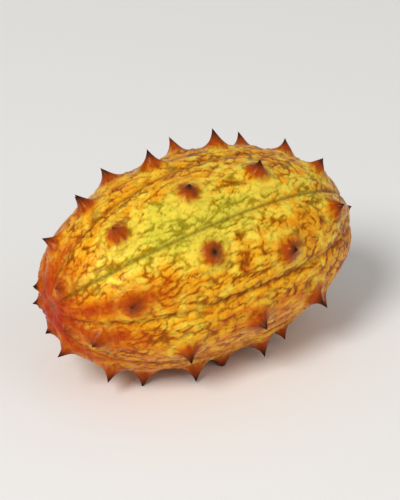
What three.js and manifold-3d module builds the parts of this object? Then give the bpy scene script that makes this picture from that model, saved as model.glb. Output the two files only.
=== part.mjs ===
// Horned melon, picked, lying on the blunt ends of three of its horns.
// Millimetres, +Z up. The fruit runs along X: blossom end at -X, stem end at +X.
// Around the fruit, an angle is counted from straight down towards -Y.

import * as THREE from 'three';
import { mergeVertices } from 'three/addons/utils/BufferGeometryUtils.js';
import Module from 'manifold-3d';

const wasm = await Module();
wasm.setup();

const DEG = Math.PI / 180;

// Body: a blunt egg, a little narrower at the stem end
const HALF_LENGTH = 58;
const HALF_WIDTH = 34;
const BLUNTNESS = 2.12;
const TAPER = 0.03;
const BOW = 1.2;

// Skin: each row of horns stands on a low rib, with a narrow groove on each side
const RIB_HEIGHT = 0.3;
const GROOVE_DEPTH = 0.75;
const GROOVE_HALF_ANGLE = 2.6 * DEG;
const GROOVE_FADE_RADIUS = 9;
const TWIST = 5 * DEG;
const NET_HEIGHT = 0.38;
const NET_ALONG = 24;
const NET_ROUND = 29;

// The two ends: a shallow scar where the flower was, and a dip round the stem
const SCAR_RADIUS = 3.2;
const SCAR_DEPTH = 0.9;
const DIP_RADIUS = 8;
const DIP_DEPTH = 2.2;

// Horns: flared spikes on round mounds, smaller towards both ends
const HORN_HEIGHT = 5.3;
const HORN_FOOT_RADIUS = 6.2;
const HORN_FLARE = 3;
const HORN_ROOT = 3;
const HORN_SUNK = 0.4;
const HORN_BEND = 0.9;
const HORN_SIDES = 6;
const END_HORN_SIDES = 5;
const HORN_LEVELS = [0.1, 0.36, 0.72];
const MOUND_HEIGHT = 1.0;
const MOUND_RADIUS = 6;
const END_HORN_SCALE = 0.42;
const PLACE_JITTER = 1.6;
const ANGLE_JITTER = 2 * DEG;
const HEIGHT_JITTER = 0.1;
const HORN_SEED = 73235;

// Rows of horns: the angle of the row's middle line, the place of its first full horn
// along the fruit, the step from horn to horn, and the angle by which the horns stand
// to one side and the other of the middle line
const ROWS = [
  { middle: 24, first: -54, step: 13.2, swing: -4 },
  { middle: 70, first: -50, step: 25, swing: 4 },
  { middle: 114, first: -40, step: 27, swing: -7 },
  { middle: 158, first: -38.5, step: 28, swing: -2 },
  { middle: 204, first: -50.5, step: 13.3, swing: 7 },
  { middle: 250, first: -26, step: 22, swing: -4 },
  { middle: 294, first: -43, step: 22, swing: 4 },
  { middle: 338, first: -43, step: 28, swing: -4 },
];
const LAST_HORN = 49;
const END_HORN_ROUND = 9.5;

// Two more small horns off the rows, close to the blossom end: the angle and the
// distance from the fruit's middle line
const BLOSSOM_HORNS = [
  { angle: 286, round: 9 },
  { angle: 345, round: 10.5 },
];

// The fruit lies on the three horns under its weight, whose points are worn flat
const WEIGHT = new THREE.Vector3(-0.7, 0, -0.2);
const STEEPEST_REST = 0.85;
const WORN = 2.1;

// Stem stub, cut off short
const STUB_RADIUS = 2.7;
const STUB_LENGTH = 8;
const STUB_SUNK = 3;
const STUB_GAP = 0.3;
const STUB_SIDES = 15;

// Mesh fineness of the body: columns for each row of horns, and rings
const COLUMNS = [0, 0.07, 0.15, 0.26, 0.38, 0.5, 0.62, 0.74, 0.85, 0.93];
const RINGS = 40;

function makeRandom(seed) {
  let state = seed;
  return () => {
    state = (state * 16807) % 2147483647;
    return state / 2147483647;
  };
}

// Grooves lie half way between neighbouring rows
const rowAngles = ROWS.map((row) => row.middle * DEG);
const grooveAngles = rowAngles.map((angle, k) => {
  const next = k + 1 < rowAngles.length ? rowAngles[k + 1] : rowAngles[0] + 2 * Math.PI;
  return (angle + next) / 2;
});

function angleBetween(a, b) {
  return Math.atan2(Math.sin(a - b), Math.cos(a - b));
}

// Smooth outline of the fruit: place along X and radius, for an angle from the blossom pole
function outline(polar) {
  const power = 2 / BLUNTNESS;
  const c = Math.cos(polar);
  const x = -HALF_LENGTH * Math.sign(c) * Math.abs(c) ** power;
  const r = HALF_WIDTH * Math.max(Math.sin(polar), 0) ** power * (1 - (TAPER * x) / HALF_LENGTH);
  return { x, r };
}

function polarAt(x) {
  const ratio = Math.min(Math.abs(x) / HALF_LENGTH, 1) ** (BLUNTNESS / 2);
  return Math.acos(-Math.sign(x) * ratio);
}

// How far from the middle of the fruit its outline has a given radius
function placeAtRadius(round) {
  const polar = Math.asin((round / HALF_WIDTH) ** (BLUNTNESS / 2));
  return HALF_LENGTH * Math.cos(polar) ** (2 / BLUNTNESS);
}

function directionAround(angle) {
  return new THREE.Vector3(0, -Math.sin(angle), -Math.cos(angle));
}

function smoothPoint(polar, angle) {
  const { x, r } = outline(polar);
  const turned = angle + (TWIST * x) / HALF_LENGTH;
  const point = directionAround(turned).multiplyScalar(r);
  point.x = x;
  point.z -= BOW * (x / HALF_LENGTH) ** 2;
  return point;
}

function smoothNormal(polar, angle) {
  const step = 0.02;
  const a = outline(Math.max(polar - step, 0.002));
  const b = outline(Math.min(polar + step, Math.PI - 0.002));
  const { x } = outline(polar);
  const turned = angle + (TWIST * x) / HALF_LENGTH;
  const normal = directionAround(turned).multiplyScalar(b.x - a.x);
  normal.x = a.r - b.r;
  return normal.normalize();
}

// Rib and groove heights at an angle around the fruit
function ribHeight(angle, r) {
  let nearestRow = Math.PI;
  for (const row of rowAngles) {
    nearestRow = Math.min(nearestRow, Math.abs(angleBetween(angle, row)));
  }
  let nearestGroove = Math.PI;
  for (const groove of grooveAngles) {
    nearestGroove = Math.min(nearestGroove, Math.abs(angleBetween(angle, groove)));
  }
  const across = nearestRow / (nearestRow + nearestGroove);
  const fade = 1 - Math.exp(-((r / GROOVE_FADE_RADIUS) ** 2));
  const rib = RIB_HEIGHT * Math.cos(across * Math.PI);
  const groove = GROOVE_DEPTH * Math.exp(-((nearestGroove / GROOVE_HALF_ANGLE) ** 2));
  return fade * (rib - groove);
}

// Raised net: short crossing ripples, stretched along the fruit
function netHeight(polar, angle, r) {
  const along = polar * NET_ALONG;
  const a = Math.sin(along + 2.1 * Math.sin(3 * angle + 1));
  const b = Math.sin(NET_ROUND * angle + 1.7 * Math.sin(along * 0.7));
  const fade = 1 - Math.exp(-((r / GROOVE_FADE_RADIUS) ** 2));
  return NET_HEIGHT * fade * a * b;
}

const feet = [];

function moundHeight(point) {
  let height = 0;
  for (const foot of feet) {
    const d = point.distanceTo(foot.smooth) / (MOUND_RADIUS * foot.scale);
    height = Math.max(height, MOUND_HEIGHT * foot.scale * Math.exp(-(d ** 3)));
  }
  return height;
}

function skinPoint(polar, angle) {
  const point = smoothPoint(polar, angle);
  const { x, r } = outline(polar);
  let height = ribHeight(angle, r) + netHeight(polar, angle, r) + moundHeight(point);
  if (x < 0) {
    height -= SCAR_DEPTH * Math.exp(-((r / SCAR_RADIUS) ** 4));
  } else {
    height -= DIP_DEPTH * Math.exp(-((r / DIP_RADIUS) ** 2));
  }
  return point.addScaledVector(smoothNormal(polar, angle), height);
}

// Where the horns stand
function addFoot(x, angle, scale, random) {
  const polar = polarAt(x);
  feet.push({
    polar,
    angle,
    scale,
    smooth: smoothPoint(polar, angle),
    height: HORN_HEIGHT * scale * (1 + HEIGHT_JITTER * (2 * random() - 1)),
    bendWay: Math.PI + (random() - 0.5) * 2.4,
  });
}

function placeHorns() {
  const random = makeRandom(HORN_SEED);
  ROWS.forEach((row) => {
    const middle = row.middle * DEG;
    let swing = row.swing * DEG;
    for (let x = row.first; x <= LAST_HORN; x += row.step) {
      const nudge = x + PLACE_JITTER * (2 * random() - 1);
      const angle = middle + swing + ANGLE_JITTER * (2 * random() - 1);
      const scale = 1 - 0.28 * (Math.abs(nudge) / HALF_LENGTH) ** 3;
      addFoot(nudge, angle, scale, random);
      swing = -swing;
    }
    // One small horn on each row beside each pole, at uneven distances from it
    for (const side of [-1, 1]) {
      const x = side * placeAtRadius(END_HORN_ROUND * (0.75 + 0.5 * random()));
      const crowded = feet.some(
        (foot) => foot.smooth.distanceTo(smoothPoint(polarAt(x), middle)) < END_HORN_ROUND,
      );
      if (!crowded) {
        addFoot(x, middle, END_HORN_SCALE, random);
      }
    }
  });
  for (const { angle, round } of BLOSSOM_HORNS) {
    addFoot(-placeAtRadius(round), angle * DEG, END_HORN_SCALE, random);
  }
}

function toManifold(geometry) {
  const plain = geometry.index ? geometry : mergeVertices(geometry);
  plain.deleteAttribute('normal');
  plain.deleteAttribute('uv');
  const merged = mergeVertices(plain, 1e-5);
  const corners = merged.index.array;
  const kept = [];
  for (let i = 0; i < corners.length; i += 3) {
    const [a, b, c] = [corners[i], corners[i + 1], corners[i + 2]];
    if (a !== b && b !== c && c !== a) {
      kept.push(a, b, c);
    }
  }
  const mesh = new wasm.Mesh({
    numProp: 3,
    vertProperties: new Float32Array(merged.attributes.position.array),
    triVerts: new Uint32Array(kept),
  });
  return new wasm.Manifold(mesh);
}

function toGeometry(solid) {
  const mesh = solid.getMesh();
  const geometry = new THREE.BufferGeometry();
  const position = new THREE.Float32BufferAttribute(Array.from(mesh.vertProperties), 3);
  geometry.setAttribute('position', position);
  geometry.setIndex(Array.from(mesh.triVerts));
  geometry.computeVertexNormals();
  return geometry;
}

// Body skin: a sphere's vertices moved out to the fruit's surface
function columnAngle(index) {
  const k = Math.floor(index / COLUMNS.length) % ROWS.length;
  const from = grooveAngles[k];
  const to = k + 1 < ROWS.length ? grooveAngles[k + 1] : grooveAngles[0] + 2 * Math.PI;
  return from + (to - from) * COLUMNS[index % COLUMNS.length];
}

function makeBody() {
  const count = COLUMNS.length * ROWS.length;
  const geometry = new THREE.SphereGeometry(1, count, RINGS);
  const { position, uv } = geometry.attributes;
  for (let i = 0; i < position.count; i += 1) {
    const ring = Math.round((1 - uv.getY(i)) * RINGS);
    const column = Math.round(uv.getX(i) * count) % count;
    const onPole = ring === 0 || ring === RINGS;
    const polar = (Math.PI * ring) / RINGS;
    const point = skinPoint(polar, onPole ? 0 : columnAngle(column));
    position.setXYZ(i, point.x, point.y, point.z);
  }
  return toManifold(geometry);
}

// A point of the skin a small way from a horn's foot
function skinNear(foot, along, around) {
  const step = 0.01;
  const ahead = outline(foot.polar + step);
  const behind = outline(foot.polar - step);
  const stretch = Math.hypot(ahead.x - behind.x, ahead.r - behind.r) / (2 * step);
  const { r } = outline(foot.polar);
  return skinPoint(foot.polar + along / stretch, foot.angle + around / r);
}

// A horn's own point: how far out from its middle, which way, and how high over the skin
function hornPoint(foot, out, way, height) {
  const up = smoothNormal(foot.polar, foot.angle);
  const along = new THREE.Vector3(1, 0, 0).addScaledVector(up, -up.x).normalize();
  const across = new THREE.Vector3().crossVectors(along, up);
  const rise = Math.max(height, 0) / foot.height;
  const bend = HORN_BEND * foot.scale * rise * rise;
  return skinNear(foot, out * Math.cos(way), out * Math.sin(way))
    .addScaledVector(up, height)
    .addScaledVector(along, bend * Math.cos(foot.bendWay))
    .addScaledVector(across, bend * Math.sin(foot.bendWay));
}

// A horn: a flared spike whose foot runs out along the skin and whose point bends over
function makeHorn(foot) {
  const wide = HORN_FOOT_RADIUS * (0.25 + 0.75 * foot.scale);
  const profile = [
    new THREE.Vector2(0, -HORN_ROOT * foot.scale),
    new THREE.Vector2(wide, -HORN_SUNK),
  ];
  for (const level of HORN_LEVELS) {
    const radius = wide * (1 - level ** (1 / HORN_FLARE));
    profile.push(new THREE.Vector2(radius, level * foot.height));
  }
  profile.push(new THREE.Vector2(0, foot.height));
  const sides = foot.scale > END_HORN_SCALE ? HORN_SIDES : END_HORN_SIDES;
  const geometry = new THREE.LatheGeometry(profile, sides);
  const { position } = geometry.attributes;
  for (let i = 0; i < position.count; i += 1) {
    const [x, y, z] = [position.getX(i), position.getY(i), position.getZ(i)];
    const out = Math.hypot(x, z);
    const way = out > 1e-6 ? Math.atan2(x, z) : 0;
    const point = hornPoint(foot, out, way, y);
    position.setXYZ(i, point.x, point.y, point.z);
  }
  return toManifold(geometry);
}

function hornTip(foot) {
  return hornPoint(foot, 0, 0, foot.height);
}

// The three points that the fruit comes to rest on: no other point is lower, and its
// weight is over them and as low as it gets
function restPlane(tips) {
  const low = tips.filter((tip) => tip.z < WEIGHT.z);
  const plane = new THREE.Plane();
  const under = new THREE.Vector3();
  let best = null;
  let lowest = Infinity;
  for (let i = 0; i < low.length; i += 1) {
    for (let j = i + 1; j < low.length; j += 1) {
      for (let k = j + 1; k < low.length; k += 1) {
        plane.setFromCoplanarPoints(low[i], low[j], low[k]);
        if (plane.distanceToPoint(WEIGHT) > 0) {
          plane.negate();
        }
        const height = -plane.distanceToPoint(WEIGHT);
        const level = plane.normal.z < -STEEPEST_REST;
        const clear = tips.every((tip) => plane.distanceToPoint(tip) < 1e-6);
        plane.projectPoint(WEIGHT, under);
        const over = new THREE.Triangle(low[i], low[j], low[k]).containsPoint(under);
        if (level && clear && over && height < lowest) {
          lowest = height;
          best = plane.clone();
        }
      }
    }
  }
  return best;
}

function restPose() {
  const plane = restPlane(feet.map(hornTip));
  const down = new THREE.Vector3(0, 0, -1);
  const turn = new THREE.Quaternion().setFromUnitVectors(plane.normal, down);
  const pose = new THREE.Matrix4().makeRotationFromQuaternion(turn);
  pose.setPosition(0, 0, -plane.constant - WORN);
  return pose;
}

// Stem stub: an uneven, slightly flared peg with a dished cut end
function stubGeometry(gap) {
  const r = STUB_RADIUS + gap;
  const sunk = STUB_SUNK + gap;
  const end = STUB_LENGTH - STUB_SUNK + (gap > 0 ? 20 : 0);
  const profile = [
    new THREE.Vector2(0, -sunk),
    new THREE.Vector2(r * 1.02, -sunk),
    new THREE.Vector2(r * 1.12, -0.2),
    new THREE.Vector2(r * (gap > 0 ? 1.12 : 0.95), end * 0.45),
    new THREE.Vector2(r * (gap > 0 ? 1.12 : 1.05), end - 0.3),
    new THREE.Vector2(r * (gap > 0 ? 1.12 : 0.9), end),
    new THREE.Vector2(0, end - (gap > 0 ? 0 : 0.5)),
  ];
  const geometry = new THREE.LatheGeometry(profile, STUB_SIDES);
  const { position } = geometry.attributes;
  for (let i = 0; i < position.count; i += 1) {
    const angle = Math.atan2(position.getZ(i), position.getX(i));
    const ribbed = 1 + 0.07 * Math.cos(5 * angle);
    position.setX(i, position.getX(i) * ribbed);
    position.setZ(i, position.getZ(i) * ribbed);
  }
  geometry.rotateZ(-Math.PI / 2);
  const seat = skinPoint(Math.PI, 0);
  geometry.translate(seat.x, seat.y, seat.z);
  return geometry;
}

placeHorns();

const pose = restPose();
const floorBlock = new THREE.BoxGeometry(4 * HALF_LENGTH, 4 * HALF_WIDTH, HALF_WIDTH);
floorBlock.translate(0, 0, -HALF_WIDTH / 2);

let solid = makeBody();
for (const foot of feet) {
  solid = solid.add(makeHorn(foot));
}
solid = solid.subtract(toManifold(stubGeometry(STUB_GAP)));
const fruitGeometry = toGeometry(solid);
fruitGeometry.applyMatrix4(pose);
const fruitSolid = toManifold(fruitGeometry).subtract(toManifold(floorBlock));
const stubSolid = toManifold(stubGeometry(0).applyMatrix4(pose));

const parts = [
  { name: 'fruit', solid: fruitSolid, color: 0xdc8a1a, roughness: 0.4 },
  { name: 'stem_stub', solid: stubSolid, color: 0x8f7d4c, roughness: 0.85 },
];

// The middle of the fruit's box stands over the origin
const box = new THREE.Box3();
const meshes = parts.map((part) => {
  const material = new THREE.MeshStandardMaterial({
    color: part.color,
    roughness: part.roughness,
    metalness: 0,
  });
  const mesh = new THREE.Mesh(toGeometry(part.solid), material);
  mesh.name = part.name;
  mesh.geometry.computeBoundingBox();
  box.union(mesh.geometry.boundingBox);
  return mesh;
});
const centre = box.getCenter(new THREE.Vector3());

const group = new THREE.Group();
group.name = 'horned_melon';
for (const mesh of meshes) {
  mesh.geometry.translate(-centre.x, -centre.y, -box.min.z);
  group.add(mesh);
}

export default group;
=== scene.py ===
"""Horned melon: its fine rind with the horns, its stem stub, and a plain stage.

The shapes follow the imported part's own sizes. Lengths in the shape formulas are in
millimetres, as the part is drawn. The fruit runs along X, blossom end at -X, and an
angle around it is counted from straight down towards -Y.
"""

import math
from itertools import combinations

import bpy
import numpy as np
from bpy.props import FloatProperty, FloatVectorProperty, IntProperty, PointerProperty
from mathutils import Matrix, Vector, noise


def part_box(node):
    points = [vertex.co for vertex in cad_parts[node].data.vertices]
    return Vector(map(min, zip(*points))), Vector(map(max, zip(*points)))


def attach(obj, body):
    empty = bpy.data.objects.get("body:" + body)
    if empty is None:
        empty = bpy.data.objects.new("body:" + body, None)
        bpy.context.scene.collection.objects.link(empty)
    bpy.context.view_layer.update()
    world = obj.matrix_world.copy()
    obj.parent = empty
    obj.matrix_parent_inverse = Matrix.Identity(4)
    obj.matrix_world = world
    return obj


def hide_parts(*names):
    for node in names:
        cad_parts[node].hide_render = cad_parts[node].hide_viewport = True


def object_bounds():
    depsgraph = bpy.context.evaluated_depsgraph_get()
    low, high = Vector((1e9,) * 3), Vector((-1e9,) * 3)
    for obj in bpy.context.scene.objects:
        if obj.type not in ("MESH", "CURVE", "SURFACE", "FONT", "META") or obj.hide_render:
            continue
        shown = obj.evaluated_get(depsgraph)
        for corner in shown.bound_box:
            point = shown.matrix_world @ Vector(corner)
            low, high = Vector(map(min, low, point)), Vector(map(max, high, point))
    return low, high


bl_info = {
    "name": "Horned Melon",
    "version": (1, 0, 0),
    "blender": (4, 5, 0),
    "location": "3D View > Sidebar > Horned Melon",
    "description": "Models the rind, horns and stem stub of a horned melon, and its stage",
    "category": "Mesh",
}

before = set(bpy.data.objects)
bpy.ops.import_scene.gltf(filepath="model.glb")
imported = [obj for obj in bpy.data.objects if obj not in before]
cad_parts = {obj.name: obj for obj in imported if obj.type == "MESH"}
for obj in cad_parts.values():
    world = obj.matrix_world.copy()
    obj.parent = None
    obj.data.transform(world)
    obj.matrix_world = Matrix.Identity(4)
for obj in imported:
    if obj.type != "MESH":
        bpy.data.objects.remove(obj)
CAD_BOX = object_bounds()

MM = 0.001
DEG = math.pi / 180

# Body
HALF_LENGTH = 58
HALF_WIDTH = 34
BLUNTNESS = 2.12
TAPER = 0.03
BOW = 1.2
TWIST = 5 * DEG

# Ribs, grooves and the low net of the source solid
RIB_HEIGHT = 0.3
GROOVE_DEPTH = 0.75
GROOVE_HALF_ANGLE = 2.6 * DEG
GROOVE_FADE_RADIUS = 9
NET_HEIGHT = 0.38
NET_ALONG = 24
NET_ROUND = 29
NET_WAVER = 2.1
NET_WAVES = 3
NET_SWAY = 1.7
NET_SWAY_RATE = 0.7

# Ends
SCAR_RADIUS = 3.2
SCAR_DEPTH = 0.9
DIP_RADIUS = 8
DIP_DEPTH = 2.2

# Horns
HORN_HEIGHT = 5.3
HORN_FOOT_RADIUS = 6.2
HORN_FOOT_LEAST = 0.25
HORN_FLARE = 3
HORN_BEND = 0.9
BEND_SPREAD = 2.4
MOUND_HEIGHT = 1.0
MOUND_RADIUS = 6
SMALLER_AT_ENDS = 0.28
END_HORN_SCALE = 0.42
END_HORN_ROUND = 9.5
END_HORN_NEAREST = 0.75
END_HORN_SPREAD = 0.5
PLACE_JITTER = 1.6
ANGLE_JITTER = 2 * DEG
HEIGHT_JITTER = 0.1
HORN_SEED = 73235
RANDOM_FACTOR = 16807
RANDOM_RANGE = 2147483647
LAST_HORN = 49

# Rows of horns: middle angle, place of the first horn, step, and swing to each side
ROWS = [
    (24, -54, 13.2, -4),
    (70, -50, 25, 4),
    (114, -40, 27, -7),
    (158, -38.5, 28, -2),
    (204, -50.5, 13.3, 7),
    (250, -26, 22, -4),
    (294, -43, 22, 4),
    (338, -43, 28, -4),
]
ROW_ANGLES = np.array([row[0] for row in ROWS]) * DEG
GROOVE_ANGLES = (ROW_ANGLES + np.append(ROW_ANGLES[1:], ROW_ANGLES[0] + 2 * math.pi)) / 2

# Two small horns off the rows, close to the blossom end: angle and radius
BLOSSOM_HORNS = [(286, 9), (345, 10.5)]

# How the fruit lies: its middle of mass, how near to straight down the way to the floor is
# (as a cosine), how much is worn off the tips it rests on, and when tips share a plane
WEIGHT = np.array([-0.7, 0, -0.2])
STEEPEST_REST = 0.85
WORN = 2.1
SAME_PLANE = 1e-6

# Stem stub
STUB_RADIUS = 2.7
STUB_LENGTH = 8
STUB_SUNK = 3

# How finely the smooth body is measured: steps of angle, and the least angle from a pole
SLOPE_STEP = 0.02
STRETCH_STEP = 0.01
POLE_GAP = 0.002
ARC_STEPS = 721

# Noise: how far apart two seeds are, and the seed of each use
SEED_SHIFT = 17.31
WARP_SEED = 1
FINE_WARP_SEED = 11
GAP_SEED = 4
CROSS_GAP_SEED = 5
RIPPLE_SEED = 6
TINT_SEED = 9
RIPENESS_SEED = 5
FLUSH_SEED = 6
RAY_SEED = 7
FOLD_SEED = 8
CORK_SEED = 12
FIBRE_SEED = 21
CUT_SEED = 22

# Ripeness of each row, from yellow (0) to deep orange (1), and how dark its next groove is
ROW_WARMTH = [0.84, 0.78, 0.54, 0.4, 0.68, 0.5, 0.7, 0.6]
GROOVE_DARKNESS = [0.55, 0.6, 1.0, 0.7, 0.6, 0.8, 0.7, 0.6]

# Places that have stayed pale: place along the fruit, angle, half-length, half-angle and
# how much paler they are
PALE_PATCHES = [
    (-21, 138, 37, 18, 0.8),
    (-23, 157, 9, 8, 0.6),
    (-28, 84, 10, 24, 0.28),
    (22, 262, 20, 16, 0.75),
    (-10, 332, 16, 13, 0.7),
]

# Red flush that runs from the blossom end along the fruit: angle, half-angle and length
FLUSHES = [
    (108, 11, 44),
    (80, 10, 34),
    (38, 12, 22),
    (224, 15, 24),
    (188, 10, 14),
    (276, 12, 24),
    (350, 12, 20),
]


def srgb(code):
    """The linear colour of a hex code."""
    parts = [int(code[i : i + 2], 16) / 255 for i in (1, 3, 5)]
    return tuple(
        part / 12.92 if part <= 0.04045 else ((part + 0.055) / 1.055) ** 2.4
        for part in parts
    )


def colour_setting(name, description, code):
    return FloatVectorProperty(
        name=name,
        description=description,
        subtype="COLOR",
        default=srgb(code),
        min=0,
        max=1,
    )


class RindSettings(bpy.types.PropertyGroup):
    """Sizes and colours of the rind."""

    segments: IntProperty(
        name="Segments",
        description="Columns of faces around the fruit",
        default=400,
        min=64,
    )
    rings: IntProperty(
        name="Rings", description="Rings of faces along the fruit", default=248, min=48
    )
    fleck_length: FloatProperty(
        name="Fleck Length",
        description="Length of the raised flecks along the fruit",
        default=4.2 * MM,
        unit="LENGTH",
    )
    fleck_width: FloatProperty(
        name="Fleck Width",
        description="Width of the raised flecks around the fruit",
        default=2.0 * MM,
        unit="LENGTH",
    )
    fleck_height: FloatProperty(
        name="Fleck Height",
        description="Height of the raised flecks over the gaps between them",
        default=0.38 * MM,
        unit="LENGTH",
    )
    ring_height: FloatProperty(
        name="Ring Height",
        description="Height of the folds that run round each horn",
        default=0.16 * MM,
        unit="LENGTH",
    )
    green: colour_setting("Green Skin", "Skin that has hardly ripened", "#d3c33a")
    pale: colour_setting("Pale Skin", "Skin that has stayed pale", "#eccb42")
    gold: colour_setting("Gold Skin", "Flecks of ripe skin", "#eca51a")
    orange: colour_setting("Orange Skin", "Flecks of the ripest skin", "#d27410")
    gap_green: colour_setting("Green Gap", "Gaps between green flecks", "#a8951a")
    gap_pale: colour_setting("Pale Gap", "Gaps between pale flecks", "#bf9612")
    gap_gold: colour_setting("Gold Gap", "Gaps between gold flecks", "#b46400")
    gap_orange: colour_setting("Orange Gap", "Gaps between orange flecks", "#a84602")
    flush: colour_setting("Flush", "Orange flush from the blossom end", "#c44c04")
    red: colour_setting("Red Flush", "Deepest flush, on the blossom end", "#a82004")
    groove: colour_setting("Groove", "Floor of grooves in orange skin", "#7a3e06")
    groove_pale: colour_setting("Pale Groove", "Floor of grooves in pale skin", "#7d6a10")
    horn_side: colour_setting("Horn Side", "Sides of the horns", "#b2430a")
    horn_tip: colour_setting("Horn Tip", "Dried points of the horns", "#260c0c")
    cork: colour_setting("Cork", "Dry skin of the scar and the stem end", "#8a6a3c")
    sheen: colour_setting("Sheen", "Tint of the light thrown back by the wax", "#ffe2b0")


class StubSettings(bpy.types.PropertyGroup):
    """Sizes and colours of the stem stub."""

    fibre_width: FloatProperty(
        name="Fibre Width",
        description="Width of the fine ridges along the stub",
        default=0.42 * MM,
        unit="LENGTH",
    )
    fibre_depth: FloatProperty(
        name="Fibre Depth",
        description="Depth of the hollows between the fine ridges",
        default=0.13 * MM,
        unit="LENGTH",
    )
    bark: colour_setting("Bark", "Dry outer skin of the stub", "#a07c42")
    hollow: colour_setting("Hollow", "Hollows between the ridges of the stub", "#6b4a22")
    pith: colour_setting("Pith", "Middle of the cut end", "#c09a5c")


class StageSettings(bpy.types.PropertyGroup):
    """Floor, lights and camera."""

    floor: colour_setting("Floor", "Floor and backdrop", "#f4f3f0")
    azimuth: FloatProperty(
        name="Azimuth",
        description="Side the camera looks from, turned from the front",
        default=-34 * DEG,
        subtype="ANGLE",
    )
    elevation: FloatProperty(
        name="Elevation",
        description="Height of the camera over the floor, as an angle",
        default=28 * DEG,
        subtype="ANGLE",
    )
    lens: FloatProperty(
        name="Lens", description="Focal length", default=200, unit="CAMERA"
    )
    distance: FloatProperty(
        name="Distance",
        description="From the camera to the middle of the fruit",
        default=0.93,
        unit="LENGTH",
    )
    key_power: FloatProperty(
        name="Key Light", description="Power of the main light", default=42, unit="POWER"
    )
    fill_power: FloatProperty(
        name="Fill Light", description="Power of the fill light", default=8, unit="POWER"
    )


# ---- Shape of the fruit, as formulas ------------------------------------------------


def outline(polar):
    """Place along X and radius, for an angle from the blossom pole."""
    power = 2 / BLUNTNESS
    c = np.cos(polar)
    x = -HALF_LENGTH * np.sign(c) * np.abs(c) ** power
    r = HALF_WIDTH * np.maximum(np.sin(polar), 0) ** power * (1 - TAPER * x / HALF_LENGTH)
    return x, r


def polar_at(x):
    ratio = min(abs(x) / HALF_LENGTH, 1) ** (BLUNTNESS / 2)
    return math.acos(-math.copysign(ratio, x))


def place_at_radius(radius):
    """How far from the middle of the fruit its outline has a given radius."""
    polar = math.asin((radius / HALF_WIDTH) ** (BLUNTNESS / 2))
    return HALF_LENGTH * math.cos(polar) ** (2 / BLUNTNESS)


def around(x, angle):
    """Direction out from the middle line."""
    turned = angle + TWIST * x / HALF_LENGTH
    return np.stack([0 * turned, -np.sin(turned), -np.cos(turned)], axis=-1)


def smooth_point(polar, angle):
    x, r = outline(polar)
    point = around(x, angle) * np.asarray(r)[..., None]
    point[..., 0] = x
    point[..., 2] -= BOW * (x / HALF_LENGTH) ** 2
    return point


def smooth_normal(polar, angle):
    ax, ar = outline(np.maximum(polar - SLOPE_STEP, POLE_GAP))
    bx, br = outline(np.minimum(polar + SLOPE_STEP, math.pi - POLE_GAP))
    normal = around(outline(polar)[0], angle) * np.asarray(bx - ax)[..., None]
    normal[..., 0] = ar - br
    return normal / np.linalg.norm(normal, axis=-1, keepdims=True)


def turn_between(a, b):
    return np.arctan2(np.sin(a - b), np.cos(a - b))


def nearest_angle(angle, angles):
    """Index of the nearest of some angles, and how far it is."""
    gaps = np.abs(turn_between(np.asarray(angle)[..., None], angles))
    return gaps.argmin(axis=-1), gaps.min(axis=-1)


def fade_at(r):
    """Ribs, grooves and net fade out at both poles."""
    return 1 - np.exp(-((r / GROOVE_FADE_RADIUS) ** 2))


def rib_height(angle, r):
    _, row = nearest_angle(angle, ROW_ANGLES)
    _, groove = nearest_angle(angle, GROOVE_ANGLES)
    rib = RIB_HEIGHT * np.cos(row / (row + groove) * math.pi)
    cut = GROOVE_DEPTH * np.exp(-((groove / GROOVE_HALF_ANGLE) ** 2))
    return fade_at(r) * (rib - cut)


def net_height(polar, angle, r):
    along = polar * NET_ALONG
    a = np.sin(along + NET_WAVER * np.sin(NET_WAVES * angle + 1))
    b = np.sin(NET_ROUND * angle + NET_SWAY * np.sin(along * NET_SWAY_RATE))
    return NET_HEIGHT * fade_at(r) * a * b


def end_height(x, r):
    """The blossom scar at one end and the dip round the stem at the other."""
    scar = SCAR_DEPTH * np.exp(-((r / SCAR_RADIUS) ** 4))
    dip = DIP_DEPTH * np.exp(-((r / DIP_RADIUS) ** 2))
    return -np.where(x < 0, scar, dip)


def smoothstep(low, high, value):
    t = np.clip((value - low) / (high - low), 0, 1)
    return t * t * (3 - 2 * t)


def noise_at(points, size, seed):
    """Smooth noise between about -1 and 1, with swells of a size in millimetres."""
    places = points / np.asarray(size, float) + seed * SEED_SHIFT
    return np.array([noise.noise(place) for place in places.tolist()])


def make_random(seed):
    """A function that draws numbers from 0 to 1, the same ones on every run."""
    state = seed

    def draw():
        nonlocal state
        state = state * RANDOM_FACTOR % RANDOM_RANGE
        return state / RANDOM_RANGE

    return draw


class Horn:
    """Where one horn stands, how big it is and which way it bends."""

    def __init__(self, x, angle, scale, draw):
        self.polar = polar_at(x)
        self.angle = angle
        self.scale = scale
        self.foot = smooth_point(self.polar, angle)
        self.height = HORN_HEIGHT * scale * (1 + HEIGHT_JITTER * (2 * draw() - 1))
        share = HORN_FOOT_LEAST + (1 - HORN_FOOT_LEAST) * scale
        self.wide = HORN_FOOT_RADIUS * share
        bend_way = math.pi + (draw() - 0.5) * BEND_SPREAD
        ax, ar = outline(self.polar + STRETCH_STEP)
        bx, br = outline(self.polar - STRETCH_STEP)
        self.stretch = math.hypot(ax - bx, ar - br) / (2 * STRETCH_STEP)
        self.radius = float(outline(self.polar)[1])
        self.up = smooth_normal(self.polar, angle)
        along = np.array([1.0, 0, 0]) - self.up * self.up[0]
        along /= np.linalg.norm(along)
        across = np.cross(along, self.up)
        lean = along * math.cos(bend_way) + across * math.sin(bend_way)
        self.bend = HORN_BEND * scale * lean

    def offsets(self, polar, angle):
        """How far points of the skin are from the horn's middle, along and around."""
        along = (polar - self.polar) * self.stretch
        return along, turn_between(angle, self.angle) * self.radius


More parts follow.
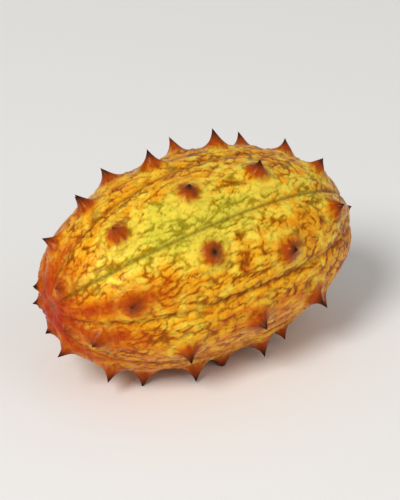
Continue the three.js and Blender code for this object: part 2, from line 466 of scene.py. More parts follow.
def place_horns():
    """Every horn: those of the rows, small ones round both ends, and two off the rows."""
    draw = make_random(HORN_SEED)
    horns = []
    for middle, first, step, swing in ROWS:
        count = math.floor((LAST_HORN - first) / step) + 1
        for k in range(count):
            x = first + k * step + PLACE_JITTER * (2 * draw() - 1)
            swung = swing if k % 2 == 0 else -swing
            angle = (middle + swung) * DEG + ANGLE_JITTER * (2 * draw() - 1)
            scale = 1 - SMALLER_AT_ENDS * (abs(x) / HALF_LENGTH) ** 3
            horns.append(Horn(x, angle, scale, draw))
        for side in (-1, 1):
            radius = END_HORN_ROUND * (END_HORN_NEAREST + END_HORN_SPREAD * draw())
            x = side * place_at_radius(radius)
            place = smooth_point(polar_at(x), middle * DEG)
            if all(np.linalg.norm(horn.foot - place) >= END_HORN_ROUND for horn in horns):
                horns.append(Horn(x, middle * DEG, END_HORN_SCALE, draw))
    for angle, radius in BLOSSOM_HORNS:
        horns.append(Horn(-place_at_radius(radius), angle * DEG, END_HORN_SCALE, draw))
    return horns


HORNS = place_horns()


def mound_height(point):
    """Height of the low mound that each horn stands on."""
    height = np.zeros(point.shape[:-1])
    for horn in HORNS:
        d = np.linalg.norm(point - horn.foot, axis=-1) / (MOUND_RADIUS * horn.scale)
        height = np.maximum(height, MOUND_HEIGHT * horn.scale * np.exp(-(d**3)))
    return height


def source_skin(polar, angle):
    """A point of the source solid's skin, without the horns."""
    point = smooth_point(polar, angle)
    x, r = outline(polar)
    height = rib_height(angle, r) + net_height(polar, angle, r)
    height = height + mound_height(point) + end_height(x, r)
    return point + smooth_normal(polar, angle) * np.asarray(height)[..., None]


def horn_tips():
    return np.array(
        [source_skin(h.polar, h.angle) + h.up * h.height + h.bend for h in HORNS]
    )


def covers(corners, normal, point):
    """Whether the triangle of three corners covers a point of its own plane."""
    a, b, c = corners
    edges = ((a, b), (b, c), (c, a))
    sides = [np.dot(np.cross(end - start, point - start), normal) for start, end in edges]
    return min(sides) >= 0 or max(sides) <= 0


def rest_pose():
    """The turn onto the three tips that carry the fruit, and the shift into its place."""
    tips = horn_tips()
    low = tips[tips[:, 2] < WEIGHT[2]]
    lowest = math.inf
    for corners in combinations(low, 3):
        normal = np.cross(corners[1] - corners[0], corners[2] - corners[0])
        normal /= np.linalg.norm(normal)
        constant = -normal @ corners[0]
        if normal @ WEIGHT + constant > 0:
            normal, constant = -normal, -constant
        height = -(normal @ WEIGHT + constant)
        if normal[2] >= -STEEPEST_REST or height >= lowest:
            continue
        if (tips @ normal + constant).max() > SAME_PLANE:
            continue
        if covers(corners, normal, WEIGHT + normal * height):
            lowest, down, drop = height, normal, constant
    turn = Vector(down).rotation_difference(Vector((0, 0, -1))).to_matrix()
    turned = tips @ np.array(turn).T
    low_corner = np.array(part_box("fruit")[0]) / MM
    shift = low_corner - turned.min(axis=0)
    shift[2] = -drop - WORN
    return np.array(turn), shift


REST_TURN, REST_SHIFT = rest_pose()


def to_frame(points):
    """From the fruit's own place to where it lies, in metres."""
    return (points @ REST_TURN.T + REST_SHIFT) * MM


# ---- Help with meshes, attributes and shader nodes -----------------------------------


def deselect_all():
    if bpy.context.object and bpy.context.object.mode != "OBJECT":
        bpy.ops.object.mode_set(mode="OBJECT")
    bpy.ops.object.select_all(action="DESELECT")


def mesh_points(mesh):
    points = np.empty(len(mesh.vertices) * 3)
    mesh.vertices.foreach_get("co", points)
    return points.reshape(-1, 3)


def move_points(mesh, points):
    mesh.vertices.foreach_set("co", np.asarray(points, np.float32).ravel())
    mesh.update()


def add_attribute(mesh, name, values):
    layer = mesh.attributes.new(name, "FLOAT", "POINT")
    layer.data.foreach_set("value", np.asarray(values, np.float32))


class NodeMaker:
    """Short ways to add and join nodes in one tree."""

    def __init__(self, tree):
        self.tree = tree

    def add(self, kind, **inputs):
        node = self.tree.nodes.new(kind)
        for name, value in inputs.items():
            self.feed(node.inputs[name.replace("_", " ")], value)
        return node

    def feed(self, socket, value):
        if isinstance(value, bpy.types.NodeSocket):
            self.tree.links.new(value, socket)
        else:
            socket.default_value = value

    def math(self, operation, *values, clamp=False):
        node = self.tree.nodes.new("ShaderNodeMath")
        node.operation = operation
        node.use_clamp = clamp
        for socket, value in zip(node.inputs, values):
            self.feed(socket, value)
        return node.outputs[0]

    def attribute(self, name):
        node = self.tree.nodes.new("ShaderNodeAttribute")
        node.attribute_name = name
        return node.outputs["Fac"]

    def ramp(self, value, stops):
        node = self.tree.nodes.new("ShaderNodeValToRGB")
        band = node.color_ramp
        while len(band.elements) < len(stops):
            band.elements.new(0.5)
        for element, (place, shade) in zip(band.elements, stops):
            element.position = place
            shade = (shade,) * 3 if isinstance(shade, (int, float)) else shade
            element.color = (*shade[:3], 1)
        self.feed(node.inputs["Fac"], value)
        return node.outputs["Color"]

    def mix(self, factor, a, b, blend="MIX"):
        node = self.tree.nodes.new("ShaderNodeMix")
        node.data_type = "RGBA"
        node.blend_type = blend
        node.clamp_factor = True
        self.feed(node.inputs["Factor"], factor)
        for name, value in (("A", a), ("B", b)):
            socket = next(s for s in node.inputs if s.name == name and s.type == "RGBA")
            if not isinstance(value, bpy.types.NodeSocket):
                value = (*value[:3], 1)
            self.feed(socket, value)
        return next(s for s in node.outputs if s.type == "RGBA")


def mottle_group():
    """Uneven colour and fine pores, as any plant skin has. Shared by the two materials."""
    found = bpy.data.node_groups.get("plant_skin_mottle")
    if found:
        return found
    group = bpy.data.node_groups.new("plant_skin_mottle", "ShaderNodeTree")
    face = group.interface
    face.new_socket("Blotch Scale", in_out="INPUT", socket_type="NodeSocketFloat")
    face.new_socket("Pore Scale", in_out="INPUT", socket_type="NodeSocketFloat")
    face.new_socket("Blotch", in_out="OUTPUT", socket_type="NodeSocketFloat")
    face.new_socket("Pores", in_out="OUTPUT", socket_type="NodeSocketFloat")
    make = NodeMaker(group)
    start = group.nodes.new("NodeGroupInput")
    end = group.nodes.new("NodeGroupOutput")
    place = group.nodes.new("ShaderNodeTexCoord").outputs["Object"]
    blotch = make.add(
        "ShaderNodeTexNoise", Vector=place, Scale=start.outputs["Blotch Scale"], Detail=3.0
    )
    pores = make.add(
        "ShaderNodeTexNoise", Vector=place, Scale=start.outputs["Pore Scale"], Detail=2.0
    )
    make.feed(end.inputs["Blotch"], blotch.outputs["Fac"])
    make.feed(end.inputs["Pores"], pores.outputs["Fac"])
    return group


def new_material(name):
    material = bpy.data.materials.new(name)
    material.use_nodes = True
    material.node_tree.nodes.clear()
    return material, NodeMaker(material.node_tree)


def mottle(make, blotch_scale, pore_scale):
    node = make.tree.nodes.new("ShaderNodeGroup")
    node.node_tree = mottle_group()
    node.inputs["Blotch Scale"].default_value = blotch_scale
    node.inputs["Pore Scale"].default_value = pore_scale
    return node.outputs["Blotch"], node.outputs["Pores"]


def add_output(make, shader):
    output = make.tree.nodes.new("ShaderNodeOutputMaterial")
    make.feed(output.inputs["Surface"], shader.outputs[0])


def finish_material(make, skin, rough, pores, strength, depth):
    """A surface with a colour and roughness, and pores of a depth in millimetres."""
    bump = make.add("ShaderNodeBump", Strength=strength, Distance=depth * MM, Height=pores)
    shader = make.add(
        "ShaderNodeBsdfPrincipled",
        Base_Color=skin,
        Roughness=rough,
        Normal=bump.outputs["Normal"],
    )
    add_output(make, shader)
    return shader


def finished_piece(piece, node):
    """The piece stands for its node and rides with the fruit."""
    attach(piece, "root")
    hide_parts(node)


# ---- Rind ---------------------------------------------------------------------------

# Horns: how far the grid is drawn to a tip, how deep the fluting is, and the greatest
# distance from a horn, in its own widths, that is told apart
HORN_PULL = 0.9
HORN_RIBBING = 0.09
FAR_FROM_HORN = 3.0

# Rays down a horn's sides: their width, how fast they change on the way down, and how far
# apart two horns are in the pattern
RAY_WIDTH = 0.42
RAY_CHANGE = 0.35
RAY_APART = 3

# How far the points have dried, against most horns: the small end horns, and some others
# by their place in the list
END_HORN_DRIED = 1.5
DRIED = {
    6: 0.7,
    9: 0.75,
    13: 0.75,
    14: 0.7,
    19: 0.55,
    23: 0.7,
    28: 0.75,
    35: 0.65,
    40: 0.7,
}

# Flecks: how their grid is bent (strength, size of the swells, seed), how far apart the
# gaps are (in sizes of a fleck) and how steep, the long ripples over them, how far apart
# their tints are, and the two values of the pattern between which a fleck rises
WARPS = [(1.1, (7, 6, 6), WARP_SEED), (0.5, (2.2, 2.2, 2.2), FINE_WARP_SEED)]
GAP_SPACING = 1.25
GAP_SLOPE = 2.7
CROSS_GAP_SPACING = 0.8
CROSS_GAP_SLOPE = 2.4
CROSS_GAP_FLOOR = 0.24
RIPPLE_HEIGHT = 0.4
RIPPLE_SIZE = (26, 2.6, 2.6)
TINT_SPACING = 1.1
FLECK_RISE = (0.05, 0.6)

# How far from a horn, in its own widths, the flecks start and are whole
FLECKS_START = (0.9, 1.45)

# Folds round a horn, in horn widths: their spacing, middle, spread and how far they waver
FOLD_SPACING = 0.42
FOLD_MIDDLE = 1.05
FOLD_SPREAD = 0.33
FOLD_WAVER = 0.09
FOLD_WAVER_SIZE = (4, 4, 4)

# Ripeness: width of a row, warmer ends (how much and how far), paler skin beside a groove
# (how much, how far off and how wide), uneven patches, and the least ripe value
ROW_SPREAD = 26 * DEG
BLOSSOM_WARMTH = (0.2, 26)
STEM_WARMTH = (0.16, 18)
BESIDE_GROOVE = (0.16, 3.5, 3)
PATCH_STRENGTH = 0.22
PATCH_SIZE = (22, 14, 14)
GREENEST = -0.5
FLECK_TINT = 0.55

# Flush: radius and sharpness of the cap, how far under it the tongues start, how strong
# they are and for which share of their length, and how unevenly it all breaks up
CAP_RADIUS = 16.5
CAP_EDGE = 3
CAP_REACH = 18
TONGUE_STRENGTH = 0.78
TONGUE_FULL = 0.35
FLUSH_MIDDLE = 1.05
FLUSH_BREAKS = 0.6
FLUSH_BREAK_SIZE = (9, 5, 5)

# Grooves: half-width of the dark line, the least radius it is measured at, and where it
# starts, away from a pole and from a horn
GROOVE_LINE = 0.75
LEAST_RADIUS = 6
GROOVE_FROM_POLE = (5, 14)
GROOVE_FROM_HORN = (0.55, 1.0)

# Corky skin at the ends: strength, radius, and how ragged its edge is
BLOSSOM_CORK = (0.35, 1.7)
STEM_CORK = (0.9, 4.6)
CORK_RAGGED = 0.5
CORK_RAGGED_SIZE = (2, 2, 2)

# Colour of the flecks: where the gap, its edge, the fleck and its lit top stand on the
# ramp, how much lighter the top is, how dark the gaps are, and how uneven it all is
FLECK_STOPS = (0.02, 0.16, 0.45, 0.95)
LIT_FLECK = 1.18
GAP_DEPTH = 0.6
GREEN_GAP_DEPTH = 0.8
PALE_GAP_DEPTH = 0.75
FLECK_CRUMBLE = 0.3
RIPE_WANDER = 0.5

# Ramps: places, and how much of the colour or effect there is at each
TO_PALE = [(0.1, 0.0), (0.48, 1.0)]
TO_GOLD = [(0.08, 0.0), (0.42, 1.0)]
TO_ORANGE = [(0.5, 0.0), (0.95, 1.0)]
TO_FLUSH = [(0.0, 0.0), (0.75, 0.92)]
DULL_RING = [(0.12, 1.0), (0.2, 0.75), (0.29, 0.0)]
BRIGHT_RING = [(0.25, 0.0), (0.33, 1.0), (0.38, 0.7), (0.5, 0.0)]
RING_PATCHES = [(0.38, 0.35), (0.58, 1.0)]
TO_HORN = [(0.01, 0.0), (0.16, 1.0)]
HORN_LINES = [(0.08, 0.0), (0.45, 0.22)]
TO_TIP = [(0.08, 0.0), (0.32, 0.25), (0.55, 0.68), (0.8, 1.0)]
PORE_SPECKS = [(0.34, 0.78), (0.5, 1.0), (0.75, 1.0)]

# Where the flush and its deepest red stand, and how strong the marks are
TO_RED = (0.55, 1.0)
DULL_STRENGTH = 0.6
RING_LOST = 0.8
GROOVE_STRENGTH = 0.85
RAY_REACH = 1.3
SIDE_STRENGTH = 0.9

# Surface: scales of blotches and pores to a metre, roughness, pores and gloss
RIND_MOTTLE = (160, 900)
SKIN_ROUGHNESS = 0.18
BLOTCH_ROUGHNESS = 0.15
CORK_ROUGHNESS = 0.35
FLUSH_ROUGHNESS = 0.1
TIP_ROUGHNESS = 0.1
PORE_BUMP = 0.35
PORE_DEPTH = 0.15
GLOSS = 0.17


def crowd_onto_horns(polar, angle):
    """Draws the grid together on each horn, so that its point comes out sharp."""
    feet = np.array([horn.foot for horn in HORNS])
    for k, horn in enumerate(HORNS):
        others = np.delete(feet, k, axis=0)
        gap = np.linalg.norm(others - horn.foot, axis=1).min()
        reach = min(horn.wide, gap / 2)
        a, b = horn.offsets(polar, angle)
        out = np.hypot(a, b)
        near = out < reach
        first = out.argmin()
        shift = (1 - (out[near] / reach) ** 2) ** 2
        a_near = a[near] - a[first] * shift
        b_near = b[near] - b[first] * shift
        share = np.minimum(np.hypot(a_near, b_near) / reach, 1)
        drawn = 1 - HORN_PULL * (1 - share) ** 2
        polar[near] = horn.polar + a_near * drawn / horn.stretch
        angle[near] = horn.angle + b_near * drawn / horn.radius
    return polar, angle


def arc_place(polar):
    """Length along the skin from the blossom pole."""
    steps = np.linspace(0, math.pi, ARC_STEPS)
    x, r = outline(steps)
    arc = np.concatenate([[0], np.cumsum(np.hypot(np.diff(x), np.diff(r)))])
    return np.interp(polar, steps, arc)


def fleck_field(polar, angle, settings):
    """Raised flecks drawn out along the fruit, with narrow winding gaps between them."""
    x, r = outline(polar)
    unrolled = around(x, angle) * r[:, None]
    unrolled[:, 0] = arc_place(polar)
    wide = settings.fleck_width / MM
    size = np.array([settings.fleck_length / MM, wide, wide])
    bent = unrolled.copy()
    for k in range(3):
        for strength, swell, seed in WARPS:
            bent[:, k] += strength * noise_at(unrolled, swell, k + seed)
    gap = np.abs(noise_at(bent, GAP_SPACING * size, GAP_SEED))
    cross_gap = np.abs(noise_at(bent, CROSS_GAP_SPACING * size, CROSS_GAP_SEED))
    flecks = np.minimum(GAP_SLOPE * gap, CROSS_GAP_FLOOR + CROSS_GAP_SLOPE * cross_gap)
    flecks += RIPPLE_HEIGHT * noise_at(unrolled, RIPPLE_SIZE, RIPPLE_SEED)
    tint = noise_at(bent, TINT_SPACING * size, TINT_SEED)
    return unrolled, np.clip(flecks, 0, 1), tint


def ripeness(x, r, angle, unrolled):
    """How ripe the skin is: green below 0, yellow at 0, deep orange at 1."""
    weights = np.exp(-((turn_between(angle[:, None], ROW_ANGLES) / ROW_SPREAD) ** 2))
    warmth = (weights * ROW_WARMTH).sum(axis=1) / weights.sum(axis=1)
    ends = ((-HALF_LENGTH, BLOSSOM_WARMTH), (HALF_LENGTH, STEM_WARMTH))
    for end, (strength, reach) in ends:
        warmth += strength * np.exp(-(((x - end) / reach) ** 2))
    for place, middle, half_length, half_angle, depth in PALE_PATCHES:
        off = turn_between(angle, middle * DEG) / (half_angle * DEG)
        warmth -= depth * np.exp(-(((x - place) / half_length) ** 2) - off**2)
    from_groove = nearest_angle(angle, GROOVE_ANGLES)[1] * np.maximum(r, LEAST_RADIUS)
    paler, off_groove, spread = BESIDE_GROOVE
    warmth -= paler * np.exp(-(((from_groove - off_groove) / spread) ** 2))
    warmth += PATCH_STRENGTH * noise_at(unrolled, PATCH_SIZE, RIPENESS_SEED)
    return np.clip(warmth, GREENEST, 1)


def flush_field(angle, unrolled):
    """Red flush: a cap on the blossom end and tongues that run out from it."""
    from_pole = unrolled[:, 0]
    flush = np.exp(-((from_pole / CAP_RADIUS) ** CAP_EDGE))
    for middle, half_angle, length in FLUSHES:
        off = turn_between(angle, middle * DEG) / (half_angle * DEG)
        along = smoothstep(1, TONGUE_FULL, from_pole / (length + CAP_REACH))
        tongue = along * np.exp(-(off**2))
        flush = np.maximum(flush, TONGUE_STRENGTH * tongue)
    flush *= FLUSH_MIDDLE + FLUSH_BREAKS * noise_at(unrolled, FLUSH_BREAK_SIZE, FLUSH_SEED)
    return np.clip(flush, 0, 1)


def raise_horns(polar, angle):
    """How far points are from the nearest horn, how far horns lift them, and their marks.

    The marks are how high up a horn a point is, how dried the horn is there, and its rays.
    """
    from_horn = np.full(len(polar), FAR_FROM_HORN)
    horn_share = np.zeros(len(polar))
    dried = np.zeros(len(polar))
    streak = np.zeros(len(polar))
    risen = np.zeros((len(polar), 3))
    for k, horn in enumerate(HORNS):
        a, b = horn.offsets(polar, angle)
        out = np.hypot(a, b) / horn.wide
        near = np.flatnonzero(out < from_horn)
        way = np.arctan2(b[near], a[near])
        down = RAY_CHANGE * out[near] + RAY_APART * k
        spokes = np.stack([np.cos(way), np.sin(way), down], axis=1)
        ray = noise_at(spokes, (RAY_WIDTH,) * 3, RAY_SEED)
        streak[near] = ray
        from_horn[near] = out[near]
        rise = np.zeros(len(polar))
        rise[near] = np.clip(1 - out[near] * (1 + HORN_RIBBING * ray), 0, 1) ** HORN_FLARE
        risen += rise[:, None] * horn.height * horn.up + (rise**2)[:, None] * horn.bend
        horn_share = np.maximum(horn_share, rise)
        usual = 1 if horn.scale > END_HORN_SCALE else END_HORN_DRIED
        dried = np.maximum(dried, rise * DRIED.get(k, usual))
    return from_horn, risen, {"horn": horn_share, "dried": dried, "streak": streak}


def groove_line(angle, r, from_horn):
    """Dark line on the floor of each groove."""
    index, gap = nearest_angle(angle, GROOVE_ANGLES)
    line = np.exp(-((gap * np.maximum(r, LEAST_RADIUS) / GROOVE_LINE) ** 2))
    line *= np.array(GROOVE_DARKNESS)[index] * smoothstep(*GROOVE_FROM_POLE, r)
    return line * smoothstep(*GROOVE_FROM_HORN, from_horn)


def cork_field(x, r, unrolled):
    """Dry skin on the blossom scar and round the stem."""
    ragged = r * (1 + CORK_RAGGED * noise_at(unrolled, CORK_RAGGED_SIZE, CORK_SEED))
    cork = np.zeros(len(r))
    for here, (strength, radius) in ((x < 0, BLOSSOM_CORK), (x > 0, STEM_CORK)):
        cork = np.maximum(cork, strength * np.exp(-((ragged / radius) ** 4)) * here)
    return cork


def shape_rind(mesh, settings):
    """Moves a sphere's points out to the fruit's skin and horns, and notes its marks."""
    ball = mesh_points(mesh)
    polar = np.arctan2(np.hypot(ball[:, 0], ball[:, 1]), ball[:, 2])
    angle = np.arctan2(ball[:, 1], ball[:, 0])
    polar, angle = crowd_onto_horns(polar, angle)
    x, r = outline(polar)
    point = smooth_point(polar, angle)
    unrolled, flecks, tint = fleck_field(polar, angle, settings)
    from_horn, risen, horn_marks = raise_horns(polar, angle)

    clear = smoothstep(*FLECKS_START, from_horn)
    raised = smoothstep(*FLECK_RISE, flecks) - 0.5
    fleck_relief = settings.fleck_height / MM * raised * fade_at(r) * clear
    waver = FOLD_WAVER * noise_at(unrolled, FOLD_WAVER_SIZE, FOLD_SEED)
    fold = np.cos(2 * math.pi * (from_horn + waver - 1) / FOLD_SPACING)
    spread = np.exp(-(((from_horn - FOLD_MIDDLE) / FOLD_SPREAD) ** 2))
    fold_relief = settings.ring_height / MM * fold * spread
    height = rib_height(angle, r) + net_height(polar, angle, r) * (1 - clear)
    height += fleck_relief + fold_relief + mound_height(point) + end_height(x, r)
    skin = point + smooth_normal(polar, angle) * height[:, None] + risen
    placed = to_frame(skin)
    placed[:, 2] = np.maximum(placed[:, 2], 0)
    move_points(mesh, placed)

    marks = {
        "fleck": flecks,
        "warmth": ripeness(x, r, angle, unrolled) + FLECK_TINT * tint * fade_at(r),
        "flush": flush_field(angle, unrolled),
        "from_horn": from_horn / FAR_FROM_HORN,
        **horn_marks,
        "groove": groove_line(angle, r, from_horn),
        "cork": cork_field(x, r, unrolled),
    }
    for name, values in marks.items():
        add_attribute(mesh, name, values)


def skin_colour(make, settings, fleck, ripe):
    """Flecks and the gaps between them, from green skin to orange."""

    def tones(gap, skin, depth=GAP_DEPTH):
        deep = tuple(depth * part for part in gap)
        light = tuple(min(1, LIT_FLECK * part) for part in skin)
        return make.ramp(fleck, list(zip(FLECK_STOPS, (deep, gap, skin, light))))

    green = tones(settings.gap_green, settings.green, GREEN_GAP_DEPTH)
    pale = tones(settings.gap_pale, settings.pale, PALE_GAP_DEPTH)
    gold = tones(settings.gap_gold, settings.gold)
    orange = tones(settings.gap_orange, settings.orange)
    skin = make.mix(make.ramp(make.math("ADD", ripe, -GREENEST), TO_PALE), green, pale)
    skin = make.mix(make.ramp(ripe, TO_GOLD), skin, gold)
    return make.mix(make.ramp(ripe, TO_ORANGE), skin, orange)


def add_rings(make, settings, skin, warmth, flush, blotch):
    """Rings round each horn: dull next to it, bright further out on pale skin."""
    from_horn = make.attribute("from_horn")
    dull = make.math("MULTIPLY", make.ramp(from_horn, DULL_RING), DULL_STRENGTH)
    skin = make.mix(dull, skin, settings.gap_gold)
    ripe = make.math("MULTIPLY", warmth, RING_LOST)
    calm = make.math("SUBTRACT", 1.0, ripe, clamp=True)
    calm = make.math("MULTIPLY", calm, make.math("SUBTRACT", 1.0, flush, clamp=True))
    bright = make.ramp(from_horn, BRIGHT_RING)
    bright = make.math("MULTIPLY", bright, make.ramp(blotch, RING_PATCHES))
    return make.mix(make.math("MULTIPLY", bright, calm), skin, settings.pale)


def add_horns(make, settings, skin, tip):
    """Horns: orange-brown sides with fine rays, and a dried point."""
    horn = make.attribute("horn")
    streak = make.attribute("streak")
    rays = make.math("MULTIPLY", streak, horn)
    side = make.ramp(make.math("MULTIPLY_ADD", rays, RAY_REACH, horn), TO_HORN)
    skin = make.mix(make.math("MULTIPLY", side, SIDE_STRENGTH), skin, settings.horn_side)
    lines = make.math("MULTIPLY", make.ramp(streak, HORN_LINES), side)
    skin = make.mix(lines, skin, settings.horn_tip)
    return make.mix(tip, skin, settings.horn_tip)


def rind_material(settings):
    material, make = new_material("waxy_rind")
    warmth = make.attribute("warmth")
    flush = make.attribute("flush")
    cork = make.attribute("cork")
    tip = make.ramp(make.attribute("dried"), TO_TIP)
    blotch, pores = mottle(make, *RIND_MOTTLE)

    crumble = make.math("MULTIPLY_ADD", pores, FLECK_CRUMBLE, -FLECK_CRUMBLE / 2)
    fleck = make.math("ADD", make.attribute("fleck"), crumble)
    wander = make.math("MULTIPLY_ADD", blotch, RIPE_WANDER, -RIPE_WANDER / 2)
    skin = skin_colour(make, settings, fleck, make.math("ADD", warmth, wander))
    reddest = make.ramp(flush, list(zip(TO_RED, (settings.flush, settings.red))))
    skin = make.mix(make.ramp(flush, TO_FLUSH), skin, reddest)
    skin = add_rings(make, settings, skin, warmth, flush, blotch)
    groove = make.math("MULTIPLY", make.attribute("groove"), GROOVE_STRENGTH)
    skin = make.mix(groove, skin, make.mix(warmth, settings.groove_pale, settings.groove))
    skin = add_horns(make, settings, skin, tip)
    skin = make.mix(cork, skin, settings.cork)
    skin = make.mix(1.0, skin, make.ramp(pores, PORE_SPECKS), blend="MULTIPLY")

    rough = make.math("MULTIPLY_ADD", blotch, BLOTCH_ROUGHNESS, SKIN_ROUGHNESS)
    rough = make.math("MULTIPLY_ADD", cork, CORK_ROUGHNESS, rough)
    rough = make.math("MULTIPLY_ADD", flush, FLUSH_ROUGHNESS, rough)
    rough = make.math("MULTIPLY_ADD", tip, TIP_ROUGHNESS, rough, clamp=True)
    shader = finish_material(make, skin, rough, pores, PORE_BUMP, PORE_DEPTH)
    shader.inputs["Specular IOR Level"].default_value = GLOSS
    shader.inputs["Specular Tint"].default_value = (*settings.sheen, 1)
    return material


class MELON_OT_make_rind(bpy.types.Operator):
    """Make the rind with its horns"""

    bl_idname = "horned_melon.make_rind"
    bl_label = "Make Rind"
    bl_options = {"REGISTER", "UNDO"}

    def execute(self, context):
        settings = context.scene.melon_rind
        deselect_all()
        bpy.ops.mesh.primitive_uv_sphere_add(
            segments=settings.segments, ring_count=settings.rings, radius=1
        )
        rind = context.object
        rind.name = rind.data.name = "fruit_rind"
        shape_rind(rind.data, settings)
        bpy.ops.object.shade_smooth()
        rind.data.materials.append(rind_material(settings))
        finished_piece(rind, "fruit")
        return {"FINISHED"}


# ---- Stem stub ----------------------------------------------------------------------

# Outside: height over the fruit and how wide the stub is there, its ribs and fine ridges
STUB_PROFILE = [(-3, 1.02), (-0.2, 1.12), (2.25, 0.95), (4.7, 1.05), (5, 0.9)]
STUB_RIBS = 5
STUB_RIB_DEPTH = 0.07
FIBRE_LENGTH = 9
FIBRE_CONTRAST = 2.2
FIBRE_SUNK = 0.8
HOLLOW_CONTRAST = 1.2
HOLLOW_START = 0.45

# Cut end: how dished and rough it is, its grain, and the ring of vessels inside the bark
STUB_DISH = 0.5
STUB_ROUGHNESS = 0.14
CUT_GRAIN = 0.5
CUT_EDGE = 0.8
VESSEL_RING = 0.62
VESSEL_WIDTH = (0.06, 0.2)
VESSEL_DARKNESS = 0.65

# Grid: columns, cuts along, insets of the ends, and what counts as on the cut or as an end
STUB_SEGMENTS = 144
STUB_CUTS = 14
STUB_INSETS = 7
ON_CUT = 0.01
FACES_ALONG = 0.9
STUB_CREASE = 50 * DEG

# Surface, as for the rind
STUB_MOTTLE = (500, 2600)
STUB_WANDER = 0.5
TO_HOLLOW = [(0.3, 0.0), (0.95, 1.0)]
STUB_SPECKS = [(0.35, 0.7), (0.55, 1.0)]
BARK_ROUGHNESS = 0.68
BARK_BLOTCH_ROUGHNESS = 0.2
BARK_BUMP = 0.6
BARK_DEPTH = 0.1


def shape_stub(mesh, settings):
    """Gives the peg its waist, ribs, fibres and dished cut, and sets it in the fruit."""
    points = mesh_points(mesh) / MM
    height = points[:, 2]
    out = np.hypot(points[:, 0], points[:, 1])
    way = np.arctan2(points[:, 1], points[:, 0])
    share = out / STUB_RADIUS
    heights, swell = zip(*STUB_PROFILE)
    waist = np.interp(height, heights, swell)
    ribbed = 1 + STUB_RIB_DEPTH * np.cos(STUB_RIBS * way)
    wide = settings.fibre_width / MM
    fibre = noise_at(points, (wide, wide, FIBRE_LENGTH), FIBRE_SEED)
    rough = noise_at(points, (CUT_GRAIN,) * 3, CUT_SEED)
    depth = settings.fibre_depth / MM
    ridges = depth * (FIBRE_CONTRAST * fibre - FIBRE_SUNK) * share**3
    radius = out * waist * ribbed + ridges
    top = height > STUB_LENGTH - STUB_SUNK - ON_CUT
    sunk = STUB_DISH * (1 - share**2) + STUB_ROUGHNESS * rough * (1 - share**6)
    height = np.where(top, height - sunk, height)
    seat = source_skin(np.array([math.pi]), np.array([0.0]))[0]
    local = np.stack([height, radius * np.sin(way), radius * np.cos(way)], axis=1)
    move_points(mesh, to_frame(local + seat))
    hollow = np.clip(HOLLOW_START - HOLLOW_CONTRAST * fibre, 0, 1)
    add_attribute(mesh, "hollow", hollow * share)
    pale = smoothstep(*VESSEL_WIDTH, np.abs(share - VESSEL_RING))
    vessels = 1 - VESSEL_DARKNESS + VESSEL_DARKNESS * pale
    add_attribute(mesh, "cut", top * smoothstep(1.0, CUT_EDGE, share) * vessels)


def stub_material(settings):
    material, make = new_material("dry_stem")
    blotch, pores = mottle(make, *STUB_MOTTLE)
    hollow = make.math("MULTIPLY_ADD", blotch, STUB_WANDER, make.attribute("hollow"))
    skin = make.mix(make.ramp(hollow, TO_HOLLOW), settings.bark, settings.hollow)
    skin = make.mix(make.attribute("cut"), skin, settings.pith)
    skin = make.mix(1.0, skin, make.ramp(pores, STUB_SPECKS), blend="MULTIPLY")
    rough = make.math("MULTIPLY_ADD", blotch, BARK_BLOTCH_ROUGHNESS, BARK_ROUGHNESS)
    finish_material(make, skin, rough, pores, BARK_BUMP, BARK_DEPTH)
    return material


class MELON_OT_make_stem_stub(bpy.types.Operator):
    """Make the short cut stem"""

    bl_idname = "horned_melon.make_stem_stub"
    bl_label = "Make Stem Stub"
    bl_options = {"REGISTER", "UNDO"}

    def execute(self, context):
        settings = context.scene.melon_stub
        deselect_all()
        middle = (STUB_LENGTH / 2 - STUB_SUNK) * MM
        bpy.ops.mesh.primitive_cylinder_add(
            vertices=STUB_SEGMENTS,
            radius=STUB_RADIUS * MM,
            depth=STUB_LENGTH * MM,
            location=(0, 0, middle),
            end_fill_type="NGON",
        )
        bpy.ops.object.transform_apply(location=True, rotation=True, scale=True)
        stub = context.object
        stub.name = stub.data.name = "stem_stub_fine"
        bpy.ops.object.mode_set(mode="EDIT")
        for k in range(1, STUB_CUTS):
            bpy.ops.mesh.select_all(action="SELECT")
            level = (k * STUB_LENGTH / STUB_CUTS - STUB_SUNK) * MM
            bpy.ops.mesh.bisect(plane_co=(0, 0, level), plane_no=(0, 0, 1))
        bpy.ops.object.mode_set(mode="OBJECT")
        for vertex in stub.data.vertices:
            vertex.select = False
        for edge in stub.data.edges:
            edge.select = False
        for face in stub.data.polygons:
            face.select = abs(face.normal.z) > FACES_ALONG
        bpy.ops.object.mode_set(mode="EDIT")
        bpy.ops.mesh.select_mode(type="FACE")
        for _ in range(STUB_INSETS):
            bpy.ops.mesh.inset(thickness=STUB_RADIUS * MM / (STUB_INSETS + 1))
        bpy.ops.mesh.poke()
        bpy.ops.object.mode_set(mode="OBJECT")
        shape_stub(stub.data, settings)
        bpy.ops.object.shade_smooth_by_angle(angle=STUB_CREASE)
        stub.data.materials.append(stub_material(settings))
        finished_piece(stub, "stem_stub")
        return {"FINISHED"}


# ---- Stage --------------------------------------------------------------------------

FLOOR_SIZE = 6
FLOOR_ROUGHNESS = 0.8
ROOM_LIGHT = 0.35
NEAREST_SEEN = 0.01

# Lights: turn from the camera's azimuth, elevation, distance and size
KEY_TURN = -32 * DEG
KEY_ELEVATION = 44 * DEG
KEY_SIZE = 1.0
FILL_TURN = 55 * DEG
FILL_ELEVATION = 35 * DEG
FILL_SIZE = 2.2
LIGHT_DISTANCE = 2.4


def way_from(azimuth, elevation):
    """Direction from the fruit towards a viewer."""
    return Vector(
        (
            math.sin(azimuth) * math.cos(elevation),
            -math.cos(azimuth) * math.cos(elevation),
            math.sin(elevation),
        )
    )


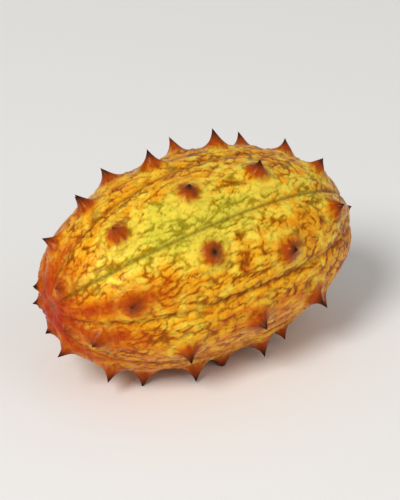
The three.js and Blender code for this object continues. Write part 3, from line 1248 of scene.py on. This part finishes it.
def add_light(name, way, size, power, target):
    bpy.ops.object.light_add(type="AREA", location=target + way * LIGHT_DISTANCE)
    light = bpy.context.object
    light.name = light.data.name = name
    light.data.shape = "DISK"
    light.data.size = size
    light.data.energy = power
    light.rotation_euler = (-way).to_track_quat("-Z", "Y").to_euler()


class MELON_OT_make_stage(bpy.types.Operator):
    """Make the floor, lights and camera"""

    bl_idname = "horned_melon.make_stage"
    bl_label = "Make Stage"
    bl_options = {"REGISTER", "UNDO"}

    def execute(self, context):
        settings = context.scene.melon_stage
        scene = context.scene
        deselect_all()
        bpy.ops.mesh.primitive_plane_add(size=FLOOR_SIZE, location=(0, 0, 0))
        floor = context.object
        floor.name = floor.data.name = "floor"
        material, make = new_material("pale_floor")
        colour = (*settings.floor, 1)
        shader = make.add(
            "ShaderNodeBsdfPrincipled", Base_Color=colour, Roughness=FLOOR_ROUGHNESS
        )
        add_output(make, shader)
        floor.data.materials.append(material)

        low, high = (Vector(corner) for corner in CAD_BOX)
        middle = (low + high) / 2
        key_way = way_from(settings.azimuth + KEY_TURN, KEY_ELEVATION)
        fill_way = way_from(settings.azimuth + FILL_TURN, FILL_ELEVATION)
        add_light("key_light", key_way, KEY_SIZE, settings.key_power, middle)
        add_light("fill_light", fill_way, FILL_SIZE, settings.fill_power, middle)
        world = bpy.data.worlds.new("soft_room")
        world.use_nodes = True
        background = world.node_tree.nodes["Background"]
        background.inputs["Color"].default_value = (1, 1, 1, 1)
        background.inputs["Strength"].default_value = ROOM_LIGHT
        scene.world = world
        scene.view_settings.view_transform = "Standard"

        back = way_from(settings.azimuth, settings.elevation)
        bpy.ops.object.camera_add(location=middle + back * settings.distance)
        camera = context.object
        camera.name = camera.data.name = "camera"
        camera.rotation_euler = (-back).to_track_quat("-Z", "Y").to_euler()
        camera.data.lens = settings.lens
        camera.data.clip_start = NEAREST_SEEN
        scene.camera = camera
        return {"FINISHED"}


class MELON_PT_panel(bpy.types.Panel):
    """Lists the pieces of the horned melon with their settings"""

    bl_label = "Horned Melon"
    bl_idname = "MELON_PT_panel"
    bl_space_type = "VIEW_3D"
    bl_region_type = "UI"
    bl_category = "Horned Melon"

    def draw(self, context):
        layout = self.layout
        scene = context.scene
        groups = (
            (MELON_OT_make_rind, scene.melon_rind),
            (MELON_OT_make_stem_stub, scene.melon_stub),
            (MELON_OT_make_stage, scene.melon_stage),
        )
        for operator, settings in groups:
            box = layout.box()
            box.operator(operator.bl_idname)
            for name in settings.__annotations__:
                box.prop(settings, name)


CLASSES = (
    RindSettings,
    StubSettings,
    StageSettings,
    MELON_OT_make_rind,
    MELON_OT_make_stem_stub,
    MELON_OT_make_stage,
    MELON_PT_panel,
)


def register():
    for cls in CLASSES:
        bpy.utils.register_class(cls)
    bpy.types.Scene.melon_rind = PointerProperty(type=RindSettings)
    bpy.types.Scene.melon_stub = PointerProperty(type=StubSettings)
    bpy.types.Scene.melon_stage = PointerProperty(type=StageSettings)


def unregister():
    del bpy.types.Scene.melon_stage
    del bpy.types.Scene.melon_stub
    del bpy.types.Scene.melon_rind
    for cls in reversed(CLASSES):
        bpy.utils.unregister_class(cls)


def main():
    register()
    bpy.ops.horned_melon.make_rind()
    bpy.ops.horned_melon.make_stem_stub()
    bpy.ops.horned_melon.make_stage()


if __name__ == "__main__":
    main()
